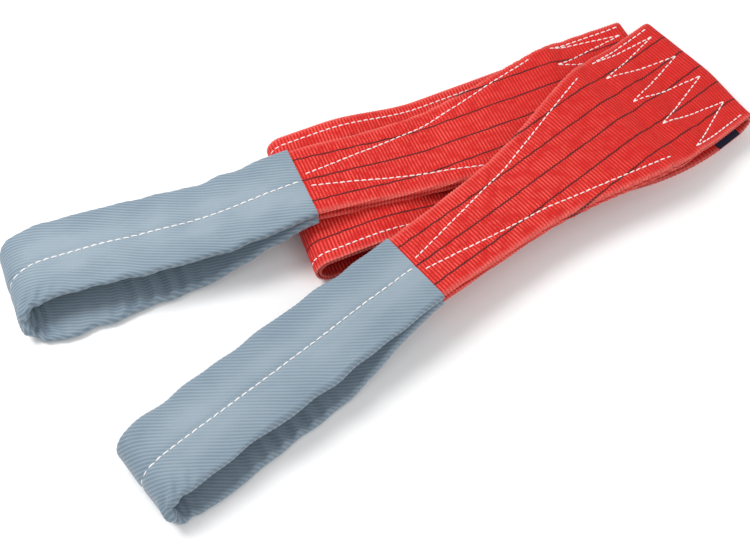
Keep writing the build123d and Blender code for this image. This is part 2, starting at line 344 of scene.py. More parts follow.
def leg_surface(leg, upper):
    """Middle surface of a leg ply over distance s and position w across the unfolded web."""
    middle = leg.upper_mid if upper else leg.lower_mid
    turn = -1 if upper else 1
    radius = PLY / 2
    rows = sum(leg_seams(leg).values(), [])

    def surface(s, w):
        s, w = np.broadcast_arrays(np.asarray(s, float), np.asarray(w, float))
        half = leg.half(s)
        started = smoothstep((HALF_WEB - half) / PLY)
        bend_at = half - radius * started
        over = np.abs(w) - bend_at
        angle = np.clip(over / radius, 0, math.pi)
        inward = np.clip(over - math.pi * radius, 0, None)
        flat = np.minimum(np.abs(w), bend_at)
        t = np.sign(w) * (flat + radius * np.sin(angle) - inward)
        drop = turn * radius * (1 - np.cos(angle))
        z = middle(s) + drop
        if upper:
            on_top = np.clip(1 - over / 2.0, 0, 1)
            from_rows = distance_to_rows(s, w, rows)
            free = smoothstep((s - 4) / FREE_RUN) * smoothstep((leg.length + 5 - s) / FREE_RUN)
            pucker = PLY_PUCKER * np.sin(wave(s, PLY_PUCKER_LENGTH) + w / 6) * bump_at(from_rows, 7, 6)
            swell = free * (PLY_SWELL * ripple(s, w, PLY_SEED) + pucker + PLY_LOOSENESS)
            pulled_down = ROW_DEPTH * bump_at(from_rows, 0, ROW_WIDTH) * smoothstep((s - 2) / 8)
            z = z + on_top * (swell - pulled_down)
        place = leg.place(s, t, z)
        return pulled_in(place) if leg is LEG_B else place

    return surface


def fold_surface(leg, layer):
    """Middle surface of one ply round a right-hand fold; s runs from -half a turn to 0."""
    radius = leg.fold_radius(layer)

    def surface(s, w):
        s, w = np.broadcast_arrays(np.asarray(s, float), np.asarray(w, float))
        angle = s / radius
        place = leg.place(radius * np.sin(angle), w, leg.axis_z + radius * np.cos(angle))
        return pulled_in(place) if leg is LEG_B else place

    return surface


# ---------------------------------------------------------------- the middle of the sling

outer_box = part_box("middle_outer_ply")
MIDDLE_HEIGHT = float(outer_box[1][2]) / MM
MIDDLE_RADIUS = MIDDLE_HEIGHT / 2
MIDDLE_X = float(outer_box[0][0]) / MM + MIDDLE_RADIUS


def outer_return_centre():
    """Plan of the outer return's middle line from the outer fold, as a function of distance."""
    heading = math.asin(-LEG_B.along[1])
    start = LEG_B.fold[:2] + LEG_B.along[:2] * STRAIGHT
    pivot = start + LEG_B.across[:2] * TURN_RADIUS
    arc = TURN_RADIUS * heading
    end = pivot + np.array((0.0, -TURN_RADIUS))
    target = np.array((MIDDLE_X, RETURN_Y))
    last = np.linalg.norm(target - end)

    def read(d):
        d = np.asarray(d, float)
        a = np.clip((d - STRAIGHT) / TURN_RADIUS, 0, heading)
        turned = heading - a
        on_arc = pivot + TURN_RADIUS * np.stack([np.sin(turned), -np.cos(turned)], -1)
        before = LEG_B.fold[:2] + LEG_B.along[:2] * np.minimum(d, STRAIGHT)[..., None]
        after = end + (target - end) * np.clip((d - STRAIGHT - arc) / last, 0, 1)[..., None]
        point = np.where((d < STRAIGHT)[..., None], before, on_arc)
        point = np.where((d > STRAIGHT + arc)[..., None], after, point)
        side = np.stack([-np.sin(turned), np.cos(turned)], -1)
        return point, side

    return read, STRAIGHT + arc + last


RETURN_CENTRE, RETURN_LENGTH = outer_return_centre()


def middle_surface(layer):
    """A ply from the outer fold along the ground, round the middle fold and up to the inner fold."""
    low = layer_z(layer) + PLY / 2
    radius = MIDDLE_RADIUS - low
    top = MIDDLE_HEIGHT - low
    flat = layer_z(3 - layer) + PLY / 2
    half_turn = math.pi * radius
    inner_length = LEG_A.fold[0] - MIDDLE_X
    ramp = curve_through([
        (0, top), (0.12 * inner_length, top - 1.0), (RAMP_FOOT_X - MIDDLE_X, flat), (inner_length, flat)])

    def surface(s, w):
        s, w = np.broadcast_arrays(np.asarray(s, float), np.asarray(w, float))
        point, side = RETURN_CENTRE(np.clip(s, 0, RETURN_LENGTH))
        lower = point + side * w[..., None]
        angle = np.clip((s - RETURN_LENGTH) / radius, 0, math.pi)
        d = np.clip(s - RETURN_LENGTH - half_turn, 0, inner_length)
        x_upper = MIDDLE_X - radius * np.sin(angle) + d + w * LEG_A.across[0] * d / inner_length
        y_upper = RETURN_Y + w + (LEG_A.fold[1] - RETURN_Y) * d / inner_length
        z_turn = MIDDLE_RADIUS - radius * np.cos(angle)
        z = np.where(s <= RETURN_LENGTH, low, np.where(d > 0, ramp(d), z_turn))
        x = np.where(s <= RETURN_LENGTH, lower[..., 0], x_upper)
        y = np.where(s <= RETURN_LENGTH, lower[..., 1], y_upper)
        place = np.stack([x, y, z], -1)
        return np.where((s < RETURN_LENGTH / 2)[..., None], pulled_in(place), place)

    return surface, RETURN_LENGTH + half_turn + inner_length


# ---------------------------------------------------------------- meshes

def unit(v):
    return v / np.maximum(np.linalg.norm(v, axis=-1, keepdims=True), 1e-9)


def normals_of(grid):
    return unit(np.cross(np.gradient(grid, axis=0), np.gradient(grid, axis=1)))


def volume(vertices, quads):
    a, b, c, d = (vertices[quads[:, k]] for k in range(4))
    return float((a * np.cross(b, c)).sum() + (a * np.cross(c, d)).sum()) / 6


def make_object(name, vertices, quads, attribute=None):
    """A closed mesh from millimetres, its faces turned outwards."""
    vertices = np.asarray(vertices)
    if volume(vertices, quads) < 0:
        quads = quads[:, ::-1]
    mesh = bpy.data.meshes.new(name)
    mesh.vertices.add(len(vertices))
    mesh.vertices.foreach_set("co", (np.asarray(vertices, np.float32) * MM).ravel())
    mesh.loops.add(4 * len(quads))
    mesh.loops.foreach_set("vertex_index", np.asarray(quads, np.int32).ravel())
    mesh.polygons.add(len(quads))
    mesh.polygons.foreach_set("loop_start", np.arange(0, 4 * len(quads), 4, dtype=np.int32))
    mesh.polygons.foreach_set("use_smooth", np.ones(len(quads), bool))
    if attribute is not None:
        layer = mesh.attributes.new("web", "FLOAT_VECTOR", "POINT")
        layer.data.foreach_set("vector", np.asarray(attribute, np.float32).ravel())
    mesh.update(calc_edges=True)
    mesh.validate()
    obj = bpy.data.objects.new(name, mesh)
    bpy.context.scene.collection.objects.link(obj)
    return obj


def grid_quads(rows, columns, offset=0, flip=False, wrap=False):
    """Faces of a grid of points, closed round its columns if wrap is set."""
    i = np.arange(rows - 1)[:, None]
    j = np.arange(columns if wrap else columns - 1)[None, :]
    right = (j + 1) % columns
    a = offset + i * columns + j
    b = offset + i * columns + right
    c = offset + (i + 1) * columns + right
    d = offset + (i + 1) * columns + j
    order = (a, d, c, b) if flip else (a, b, c, d)
    return np.stack([q + 0 * a for q in order], -1).reshape(-1, 4)


def rib_height(s, w):
    """Rounded weft ribs, close together and a little uneven, with a narrow hollow between them."""
    uneven = 1 + 0.35 * ripple(s * 1.6, w * 1.6, 5)
    return RIB_HEIGHT * uneven * (np.abs(np.sin(math.pi * s / RIB_PITCH)) ** 0.7 - 0.6)


def web_piece(name, surface, s_start, s_end, face, edge_at=None):
    """A closed strip of ribbed webbing on a middle surface; face 1 puts its face side up the normal."""
    step = RIB_PITCH / RIB_SAMPLES
    rows = max(int(round((s_end - s_start) / step)), 8)
    s = np.linspace(s_start, s_end, rows + 1)
    columns = int(2 * HALF_WEB / WEB_STEP)
    w = np.linspace(-HALF_WEB, HALF_WEB, columns + 1)
    notch = 0.35 * (1 - np.abs(np.sin(math.pi * s / RIB_PITCH)))
    grid_s, grid_w = np.meshgrid(s, w, indexing="ij")
    grid_w = grid_w * (1 - notch[:, None] / HALF_WEB)
    middle = surface(grid_s, grid_w)
    normal = normals_of(middle) * face
    edge = 1 - 0.25 * smoothstep((np.abs(grid_w) - HALF_WEB + SELVEDGE) / SELVEDGE)
    offset = (CLOTH / 2 * edge + rib_height(grid_s, grid_w))[..., None]
    top = middle + normal * offset
    bottom = middle - normal * offset
    count = top.shape[0] * top.shape[1]
    vertices = np.concatenate([top.reshape(-1, 3), bottom.reshape(-1, 3)])
    n, m = top.shape[:2]
    index = np.arange(count).reshape(n, m)
    up = face > 0
    quads = [grid_quads(n, m, 0, flip=up), grid_quads(n, m, count, flip=not up)]
    for line, reverse in ((index[:, 0], up), (index[:, -1], not up), (index[0], not up), (index[-1], up)):
        a, b = line[:-1], line[1:]
        wall = np.stack([a, b, b + count, a + count], -1)
        quads.append(wall[:, ::-1] if reverse else wall)
    half = edge_at(grid_s) if edge_at else HALF_WEB
    # Worn fuzz and a painted highlight along the folded edges and the selvedges
    edge_wear_and_highlight = np.maximum(
        bump_at(np.abs(grid_w), half, EDGE_WEAR_AND_HIGHLIGHT_WIDTH),
        bump_at(np.abs(grid_w), HALF_WEB, EDGE_WEAR_AND_HIGHLIGHT_WIDTH))
    web = np.stack([np.tile(part.ravel(), 2) for part in (grid_s * MM, grid_w * MM, edge_wear_and_highlight)], -1)
    obj = make_object(name, vertices, np.concatenate(quads), web)
    mark_sharp(obj, WEB_SHARP)
    obj.data.materials.append(WEBBING)
    return obj


def mark_sharp(obj, degrees):
    obj.data.set_sharp_from_angle(angle=math.radians(degrees))


def capsule():
    """One stitch: a short round bar along X, its ends drawn down."""
    rings, around = 7, 8
    points = []
    for i in range(rings):
        u = -1 + 2 * i / (rings - 1)
        radius = math.sqrt(max(1 - abs(u) ** 3.2, 0.02))
        for j in range(around):
            a = 2 * math.pi * j / around
            points.append((u, radius * math.cos(a), radius * math.sin(a) - 0.9 * u * u))
    cap = np.array([(0, 1, 2, 3), (0, 3, 4, 7), (4, 5, 6, 7)])
    quads = [grid_quads(rings, around, 0, wrap=True), cap[:, ::-1], cap + (rings - 1) * around]
    return np.array(points), np.concatenate(quads)


STITCH_POINTS, STITCH_QUADS = capsule()


def stitches(name, starts, ends, normals, seed):
    """Separate stitches of thread, each lying on a surface between its two needle holes."""
    rng = np.random.default_rng(seed)
    vertices, quads = [], []
    for start, end, normal in zip(starts, ends, normals):
        along = end - start
        length = np.linalg.norm(along)
        along = along / length
        side = unit(np.cross(normal, along))
        tilt = rng.normal(0, 0.06)
        along = unit(along + side * tilt)
        side = unit(np.cross(normal, along))
        size = THREAD_RADIUS * rng.uniform(0.85, 1.1)
        centre = (start + end) / 2 + normal * THREAD_LIFT
        points = (
            centre
            + STITCH_POINTS[:, 0:1] * along * length * 0.5 * STITCH_LENGTH / STITCH
            + STITCH_POINTS[:, 1:2] * side * size
            + STITCH_POINTS[:, 2:3] * normal * size
        )
        quads.append(STITCH_QUADS + len(vertices) * len(STITCH_POINTS))
        vertices.append(points)
    obj = make_object(name, np.concatenate(vertices), np.concatenate(quads))
    obj.data.materials.append(THREAD)
    return obj


def along_row(points):
    """Pairs of neighbouring needle holes, evenly spaced along each side of a polyline of (s, w)."""
    points = np.array(points, float)
    result = []
    for a, b in zip(points, points[1:]):
        length = np.linalg.norm(b - a)
        count = max(int(round(length / STITCH)), 1)
        for k in range(count):
            result.append(((a + (b - a) * k / count), (a + (b - a) * (k + 1) / count)))
    return result


def rows_on(surface, rows, face):
    """Ends and normals of the stitches that lie on a ply's face along rows of (s, w)."""
    pairs = [pair for row in rows for pair in along_row(row)]
    first = np.array([p[0] for p in pairs])
    second = np.array([p[1] for p in pairs])
    middle = (first + second) / 2
    step = 0.5
    ds = surface(middle[:, 0] + step, middle[:, 1]) - surface(middle[:, 0] - step, middle[:, 1])
    dw = surface(middle[:, 0], middle[:, 1] + step) - surface(middle[:, 0], middle[:, 1] - step)
    normal = unit(np.cross(ds, dw)) * face
    a = surface(first[:, 0], first[:, 1]) + normal * CLOTH / 2
    b = surface(second[:, 0], second[:, 1]) + normal * CLOTH / 2
    return a, b, normal


# ---------------------------------------------------------------- materials

class Surface:
    """A material with one shader, and short calls for the nodes that the cloths here are made of."""

    def __init__(self, name):
        self.material = bpy.data.materials.new(name)
        self.material.use_nodes = True
        self.nodes = self.material.node_tree.nodes
        self.links = self.material.node_tree.links
        self.nodes.clear()
        output = self.nodes.new("ShaderNodeOutputMaterial")
        self.shader = self.nodes.new("ShaderNodeBsdfPrincipled")
        self.links.new(self.shader.outputs[0], output.inputs[0])

    def fill(self, socket, value):
        if isinstance(value, (int, float)):
            socket.default_value = value
        elif isinstance(value, tuple):
            socket.default_value = (*value, 1.0)
        else:
            self.links.new(value, socket)

    def set(self, **values):
        for name, value in values.items():
            self.fill(self.shader.inputs[name.replace("_", " ")], value)

    def math(self, operation, *values):
        node = self.nodes.new("ShaderNodeMath")
        node.operation = operation
        for socket, value in zip(node.inputs, values):
            self.fill(socket, value)
        return node.outputs[0]

    def plus(self, a, b):
        return self.math("ADD", a, b)

    def minus(self, a, b):
        return self.math("SUBTRACT", a, b)

    def times(self, a, b):
        return self.math("MULTIPLY", a, b)

    def ribs(self, x, pitch):
        """Rounded ridges of that pitch over x, 0 in the grooves and 1 on the crests."""
        return self.math("ABSOLUTE", self.math("SINE", self.times(x, math.pi / pitch)))

    def ramp(self, value, low, high):
        node = self.nodes.new("ShaderNodeMapRange")
        node.interpolation_type = "SMOOTHSTEP"
        node.inputs["From Min"].default_value = low
        node.inputs["From Max"].default_value = high
        self.links.new(value, node.inputs["Value"])
        return node.outputs["Result"]

    def noise(self, scale, detail, vector=None):
        node = self.nodes.new("ShaderNodeTexNoise")
        node.inputs["Scale"].default_value = scale
        node.inputs["Detail"].default_value = detail
        if vector is not None:
            self.links.new(vector, node.inputs["Vector"])
        return node.outputs["Fac"]

    def mix(self, factor, a, b):
        node = self.nodes.new("ShaderNodeMix")
        node.data_type = "RGBA"
        for socket, value in (("Factor", factor), ("A", a), ("B", b)):
            self.fill(node.inputs[socket], value)
        return node.outputs["Result"]

    def web(self):
        """The piece's own coordinates, as one vector and as its three parts."""
        attribute = self.nodes.new("ShaderNodeAttribute")
        attribute.attribute_name = "web"
        split = self.nodes.new("ShaderNodeSeparateXYZ")
        self.links.new(attribute.outputs["Vector"], split.inputs[0])
        return attribute.outputs["Vector"], split.outputs["X"], split.outputs["Y"], split.outputs["Z"]

    def bump(self, height, strength, distance):
        node = self.nodes.new("ShaderNodeBump")
        node.inputs["Strength"].default_value = strength
        node.inputs["Distance"].default_value = distance
        self.links.new(height, node.inputs["Height"])
        self.set(Normal=node.outputs[0])


WEB_DEEP = (0.58, 0.008, 0.006)
WEB_BRIGHT = (0.70, 0.014, 0.010)
# Painted highlight colour for the rib crests
WEB_CREST_HIGHLIGHT = (0.86, 0.10, 0.075)
# Painted shade colour for the grooves between the ribs and between the warp cords
WEB_GROOVE_SHADE = (0.33, 0.004, 0.004)
# Colour of loose fuzz, and of the painted highlight along the edges
WEB_FUZZ_AND_EDGE_HIGHLIGHT = (0.88, 0.26, 0.22)
WEB_SHEEN = (1.0, 0.55, 0.50)
STRIPE = (0.022, 0.008, 0.009)

STRIPE_SPACING = 0.025
STRIPES_WITHIN = 0.060
CORD_PITCH = 0.00105

SLEEVE_DEEP = (0.150, 0.215, 0.276)
SLEEVE_BRIGHT = (0.215, 0.285, 0.342)
SLEEVE_GROOVE_SHADE = (0.070, 0.118, 0.180)
SLEEVE_CREST_HIGHLIGHT = (0.38, 0.455, 0.51)
SLEEVE_WEAVE = (0.36, 0.44, 0.50)
SLEEVE_DUST = (0.42, 0.49, 0.54)
WEAVE_PITCH = 0.00125


def webbing_material():
    """Red ribbed polyester: fine warp cords, dyed unevenly, five black load stripes, fuzzy worn edges with a
    painted highlight, a painted highlight on the rib crests and painted shade in the grooves.
    """
    cloth = Surface("webbing")
    plus, minus, times, ramp = cloth.plus, cloth.minus, cloth.times, cloth.ramp
    web, s, w, edge_wear_and_highlight = cloth.web()
    rib = cloth.ribs(s, RIB_PITCH * MM)
    cord = cloth.ribs(w, CORD_PITCH)
    blotch = cloth.noise(9.0, 3.0)
    patch = cloth.noise(26.0, 2.0)
    speck = cloth.noise(900.0, 2.0)
    tuft = cloth.noise(330.0, 3.0)

    wobble = times(minus(cloth.noise(120.0, 3.0, web), 0.5), 0.0022)
    shifted = plus(plus(w, wobble), 10.5 * STRIPE_SPACING)
    place = cloth.math("MODULO", shifted, STRIPE_SPACING)
    from_stripe = cloth.math("ABSOLUTE", minus(place, STRIPE_SPACING / 2))
    inside = cloth.math("LESS_THAN", cloth.math("ABSOLUTE", w), STRIPES_WITHIN)
    dash = plus(times(ramp(rib, 0.30, 0.62), 0.55), 0.40)
    stripe = times(times(minus(1.0, ramp(from_stripe, 0.00070, 0.00108)), inside), dash)

    # Painted shade in the grooves between the ribs
    groove_shade = minus(1.0, ramp(rib, 0.15, 0.75))
    # Painted highlight on the rib crests, in patches, stronger further along s (towards the throat on the
    # legs)
    crest_highlight = times(ramp(rib, 0.62, 1.0), ramp(patch, 0.30, 0.65))
    crest_highlight = times(crest_highlight, plus(times(ramp(s, 0.05, 0.26), 0.75), 0.25))
    colour = cloth.mix(blotch, WEB_DEEP, WEB_BRIGHT)
    colour = cloth.mix(times(crest_highlight, 0.85), colour, WEB_CREST_HIGHLIGHT)
    colour = cloth.mix(times(groove_shade, 0.78), colour, WEB_GROOVE_SHADE)
    # Painted shade between the fine warp cords
    colour = cloth.mix(times(ramp(cord, 0.5, 0.0), 0.28), colour, WEB_GROOVE_SHADE)
    colour = cloth.mix(times(ramp(speck, 0.55, 0.75), 0.22), colour, WEB_FUZZ_AND_EDGE_HIGHLIGHT)
    # Worn fuzz and painted highlight along the edges
    colour = cloth.mix(times(times(edge_wear_and_highlight, ramp(tuft, 0.38, 0.62)), 0.75), colour, WEB_FUZZ_AND_EDGE_HIGHLIGHT)
    colour = cloth.mix(stripe, colour, STRIPE)
    cloth.set(
        Base_Color=colour,
        Roughness=plus(times(ramp(speck, 0.2, 0.8), 0.2), 0.52),
        Sheen_Weight=0.06,
        Sheen_Roughness=0.45,
        Sheen_Tint=WEB_SHEEN,
        Specular_IOR_Level=0.22)
    cloth.bump(plus(times(cord, 0.6), times(speck, 0.7)), 0.55, 0.00028)
    return cloth.material


def sleeve_material():
    """Blue-grey abrasion sleeve: slanting twill ridges over a fine crossing weave, a little dusty, with
    painted shade in the grooves and a painted highlight on the ridges.
    """
    cloth = Surface("sleeve")
    plus, minus, times, ramp = cloth.plus, cloth.minus, cloth.times, cloth.ramp
    _, u, v, ridge = cloth.web()
    fine = [cloth.math("SINE", times(at, 2 * math.pi / WEAVE_PITCH)) for at in (u, v)]
    weave = times(*fine)
    speck = cloth.noise(1100.0, 2.0)
    colour = cloth.mix(cloth.noise(14.0, 3.0), SLEEVE_DEEP, SLEEVE_BRIGHT)
    # Painted shade in the grooves between the twill ridges, deeper where the ridges stand higher; ridge here
    # holds the per-point shade that sleeve_piece stores
    colour = cloth.mix(times(minus(1.0, ridge), 0.70), colour, SLEEVE_GROOVE_SHADE)
    # Painted highlight on the tops of the twill ridges
    colour = cloth.mix(times(ramp(ridge, 0.75, 1.0), 0.35), colour, SLEEVE_CREST_HIGHLIGHT)
    colour = cloth.mix(times(ramp(weave, 0.0, 1.0), 0.25), colour, SLEEVE_WEAVE)
    colour = cloth.mix(times(ramp(speck, 0.55, 0.8), 0.25), colour, SLEEVE_DUST)
    cloth.set(
        Base_Color=colour,
        Roughness=plus(times(speck, 0.25), 0.45),
        Sheen_Weight=0.25,
        Sheen_Roughness=0.5,
        Specular_IOR_Level=0.4)
    cloth.bump(plus(times(weave, 0.6), times(speck, 0.8)), 0.5, 0.00022)
    return cloth.material


def thread_material():
    """White sewing thread."""
    cloth = Surface("thread")
    speck = cloth.noise(1500.0, 2.0)
    colour = cloth.mix(speck, (0.80, 0.76, 0.74), (0.96, 0.94, 0.92))
    cloth.set(Base_Color=colour, Roughness=0.6, Sheen_Weight=0.3)
    cloth.bump(speck, 0.4, 0.0002)
    return cloth.material


def label_material():
    """Very dark blue woven label."""
    cloth = Surface("label")
    colour = cloth.mix(cloth.noise(700.0, 2.0), (0.007, 0.013, 0.036), (0.013, 0.024, 0.060))
    cloth.set(Base_Color=colour, Roughness=0.5)
    return cloth.material


WEBBING = webbing_material()
SLEEVE = sleeve_material()
THREAD = thread_material()
LABEL = label_material()


# ---------------------------------------------------------------- eyes

def rounded_path(points, radii, step):
    """Samples of a polyline with rounded corners: positions (n, 2) and distance along it."""
    points = [np.array(p, float) for p in points]
    samples = [points[0]]

    def line_to(target):
        start = samples[-1]
        count = max(int(np.linalg.norm(target - start) / step), 1)
        for k in range(1, count + 1):
            samples.append(start + (target - start) * k / count)

    for previous, corner, following, radius in zip(points, points[1:], points[2:], radii):
        a = unit(previous - corner)
        b = unit(following - corner)
        half = math.acos(np.clip(a @ b, -1, 1)) / 2
        reach = radius / math.tan(half)
        centre = corner + unit(a + b) * radius / math.sin(half)
        line_to(corner + a * reach)
        start, end = samples[-1] - centre, corner + b * reach - centre
        turn = math.atan2(start[0] * end[1] - start[1] * end[0], start @ end)
        count = max(int(abs(turn) * radius / step), 4)
        for k in range(1, count + 1):
            c, sn = math.cos(turn * k / count), math.sin(turn * k / count)
            samples.append(centre + np.array((c * start[0] - sn * start[1], sn * start[0] + c * start[1])))
    line_to(points[-1])
    samples = np.array(samples)
    distance = np.concatenate([[0], np.cumsum(np.linalg.norm(np.diff(samples, axis=0), axis=1))])
    return samples, distance


def eye_line(leg):
    """Middle line of the strap, from the upper ply's end out to the nose and back to the lower's."""
    low = leg.throat_low + PLY / 2
    high = leg.throat_high - PLY / 2
    floor = SLEEVE_HALF_HEIGHT
    tip = leg.nose - SLEEVE_HALF_HEIGHT
    straight_end = leg.length + THROAT_STRAIGHT
    points = [
        (leg.length, high), (straight_end, high), (tip, floor + 2 * NOSE_RADIUS + NOSE_STRAIGHT),
        (tip, floor), (leg.length + LANDING, floor), (straight_end, low), (leg.length, low)]
    radii = [THROAT_BEND_RADIUS, NOSE_RADIUS, NOSE_RADIUS, LANDING_RADIUS, THROAT_BEND_RADIUS]
    return rounded_path(points, radii, 0.7)


def strap_frame(leg, step):
    """Evenly spaced points of the strap's line: distance, s, z, outward normal and sideways drift."""
    line, distance = eye_line(leg)
    count = int(distance[-1] / step)
    at = np.linspace(0, distance[-1], count + 1)
    s = np.interp(at, distance, line[:, 0])
    z = np.interp(at, distance, line[:, 1])
    tangent = unit(np.stack([np.gradient(s), np.gradient(z)], -1))
    kernel = np.ones(5) / 5
    padded = np.pad(tangent, ((2, 2), (0, 0)), mode="edge")
    tangent = unit(np.stack([np.convolve(padded[:, k], kernel, "valid") for k in (0, 1)], -1))
    outward = np.stack([-tangent[:, 1], tangent[:, 0]], -1)
    upper, lower = leg.drifts
    beyond = s - leg.length
    over_nose = smoothstep((at - at[np.argmax(s)] + NOSE_DRIFT_RUN) / (2 * NOSE_DRIFT_RUN))
    upper_drift = upper * smoothstep((beyond - 70) / 190)
    lower_drift = lower * smoothstep((beyond - THROAT_STRAIGHT) / LANDING)
    drift = upper_drift * (1 - over_nose) + lower_drift * over_nose
    return at, s, z, outward, drift


def strap_point(leg, s, z, outward, t, height):
    """A point at t across the strap and at a height over its middle line."""
    return leg.place(s + outward[..., 0] * height, t, z + outward[..., 1] * height)


def sleeve_relief(at, end, nose_at, t, outer, seed):
    """How far the sleeve stands off its flat shape; outer is 1 on its outer face and 0 on its inner."""
    inner = 1 - outer
    soft = smoothstep(at / MOUTH_RUN) * smoothstep((end - at) / MOUTH_RUN)
    from_nose = np.abs(at - nose_at)
    swell = SLEEVE_SWELL * ripple(at, t * 1.3 + 200 * inner, seed)
    crown = SLEEVE_CROWN * np.cos(np.clip(t / SLEEVE_HALF_WIDTH, -1, 1) * math.pi / 2)
    folded = INNER_FOLD_HEIGHT * inner * bump_at(at, nose_at + INNER_FOLDS_FROM_NOSE, INNER_FOLDS_REACH)
    folds = folded * (0.8 + np.sin(wave(at, INNER_FOLD_LENGTH) + 0.9 * np.sin(t / 17) + seed))
    seam = SEAM_DEPTH * outer * bump_at(t, 0, SEAM_WIDTH)
    puckered = inner * bump_at(from_nose, 0, PUCKER_REACH)
    puckers = puckered * np.sin(wave(at, PUCKER_LENGTH) + 0.8 * np.sin(t / 9))
    near_edge = bump_at(t, -33, 9) * bump_at(from_nose, 14, CRUMPLE_REACH)
    crumple = CRUMPLE_HEIGHT * near_edge * np.sin(wave(at, CRUMPLE_LENGTH) + t / 5 + seed)
    return soft * (swell + crown + folds) - seam + puckers + crumple - 0.4


def sleeve_section(half_w, half_h):
    """Points round a flat tube: distance round it, place across and height."""
    corner = half_h * 0.96
    straight = half_w - corner
    quarter = math.pi * corner
    total = 4 * straight + 2 * quarter
    round_it = np.arange(SLEEVE_AROUND) * total / SLEEVE_AROUND
    across = np.empty(SLEEVE_AROUND)
    height = np.empty(SLEEVE_AROUND)
    for k, d in enumerate(round_it):
        if d < 2 * straight:
            across[k], height[k] = -straight + d, half_h
        elif d < 2 * straight + quarter:
            a = (d - 2 * straight) / corner
            across[k], height[k] = straight + corner * math.sin(a), half_h * math.cos(a)
        elif d < 4 * straight + quarter:
            across[k], height[k] = straight - (d - 2 * straight - quarter), -half_h
        else:
            a = (d - 4 * straight - quarter) / corner
            across[k], height[k] = -straight - corner * math.sin(a), -half_h * math.cos(a)
    return round_it, across, height


def sleeve_across(at, u, t, from_nose, half_w, drift, seed):
    """Place of the sleeve's points across the leg: drawn in, uneven at its edges, nipped at the nose."""
    draw_in = 1 - 0.03 * bump_at(from_nose, 0, 16) + 0.012 * np.sin(at[:, None] / 31 + seed)
    draw_in = draw_in - 0.02 * bump_at(at[:, None], 0, MOUTH_NARROWING)
    clear_of_mouths = smoothstep(u / EDGE_WAVE_RUN) * smoothstep((at[-1] - u) / EDGE_WAVE_RUN)
    edge_wave = EDGE_WAVE * clear_of_mouths * ripple(u * 1.5, t * 0.2, seed + 3) * (np.abs(t) / half_w) ** 3
    nip = bump_at(from_nose, 10, 18) * bump_at(t, -40, 10) * (1.4 + 1.6 * np.sin(wave(u, NIP_LENGTH) + seed))
    return t * draw_in + edge_wave + drift + nip


def sleeve_piece(leg, ridge_angle, seed):
    """A flat woven tube round the loop, its ridges running slantwise along it, puckered at the nose."""
    at, s, z, outward, drift = (part[1:-1] for part in strap_frame(leg, SLEEVE_STEP))
    half_w, half_h = SLEEVE_HALF_WIDTH - SLEEVE_SIDE_SLACK, SLEEVE_HALF_HEIGHT - SLEEVE_SLACK
    v, t, h = sleeve_section(half_w, half_h)
    grid_u, grid_t = np.meshgrid(at, t, indexing="ij")
    n, around = grid_u.shape
    grid_v = np.tile(v, (n, 1))
    grid_h = np.tile(h, (n, 1))
    facing = np.sign(grid_h) * np.clip(np.abs(grid_h) / half_h, 0, 1) ** 3
    outer_side = (facing > 0) * 1.0
    nose_at = at[np.argmax(s)]
    from_nose = np.abs(grid_u - nose_at)
    height = grid_h + facing * sleeve_relief(grid_u, at[-1], nose_at, grid_t, outer_side, seed)
    drifts = drift[:, None]
    across = sleeve_across(at, grid_u, grid_t, from_nose, half_w, drifts, seed)
    rows = np.arange(n)[:, None] + 0 * np.arange(around)[None, :]
    outer = strap_point(leg, s[rows], z[rows], outward[rows], across, height)
    inside = strap_point(leg, s[rows], z[rows], outward[rows], drifts + (across - drifts) * 0.9, height * 0.5)
    normal = unit(np.cross(np.gradient(outer, axis=0), np.roll(outer, -1, 1) - np.roll(outer, 1, 1)))
    normal = normal * np.sign(np.sum(normal * (outer - inside), axis=-1, keepdims=True))

    ridge_v = np.where(grid_h >= 0, grid_t, -grid_t)
    phase = (grid_u * math.sin(ridge_angle) + ridge_v * math.cos(ridge_angle)) / SLEEVE_RIDGE
    ridge = np.abs(np.sin(math.pi * phase)) ** 0.8
    strength = 0.30 + 0.75 * smoothstep((np.abs(grid_t) - 10) / 26) + 0.3 * ripple(grid_u, grid_v, seed + 7)
    strength = np.maximum(strength, 0.9 * (1 - outer_side)) + 1.5 * bump_at(from_nose, 0, 20)
    strength = np.clip(strength, 0.15, 2.2)
    relief = (SLEEVE_RIDGE_HEIGHT * strength * (ridge - 0.6))[..., None]
    outer = outer + normal * relief
    inner = outer - normal * (SLEEVE_WALL * 0.7 + relief)
    outer[..., 2] = np.maximum(outer[..., 2], FLOOR_GAP)
    inner[..., 2] = np.maximum(inner[..., 2], FLOOR_GAP + SLEEVE_WALL * 0.6)

    count = n * around
    vertices = np.concatenate([outer.reshape(-1, 3), inner.reshape(-1, 3)])
    ring = np.arange(around)
    following = (ring + 1) % around
    first = np.stack([ring, following, following + count, ring + count], -1)
    last = first[:, ::-1] + (n - 1) * around
    walls = [grid_quads(n, around, 0, flip=True, wrap=True), grid_quads(n, around, count, wrap=True)]
    quads = np.concatenate(walls + [first, last])
    shade = 1 - (1 - ridge) * np.clip(strength, 0, 1.25) / 1.25
    web = np.stack([grid_u.ravel() * MM, grid_v.ravel() * MM, shade.ravel()], -1)
    obj = make_object("eye_" + leg.name + "_sleeve_cloth", vertices, quads, np.concatenate([web, web]))
    mark_sharp(obj, SLEEVE_SHARP)
    obj.data.materials.append(SLEEVE)
    return obj


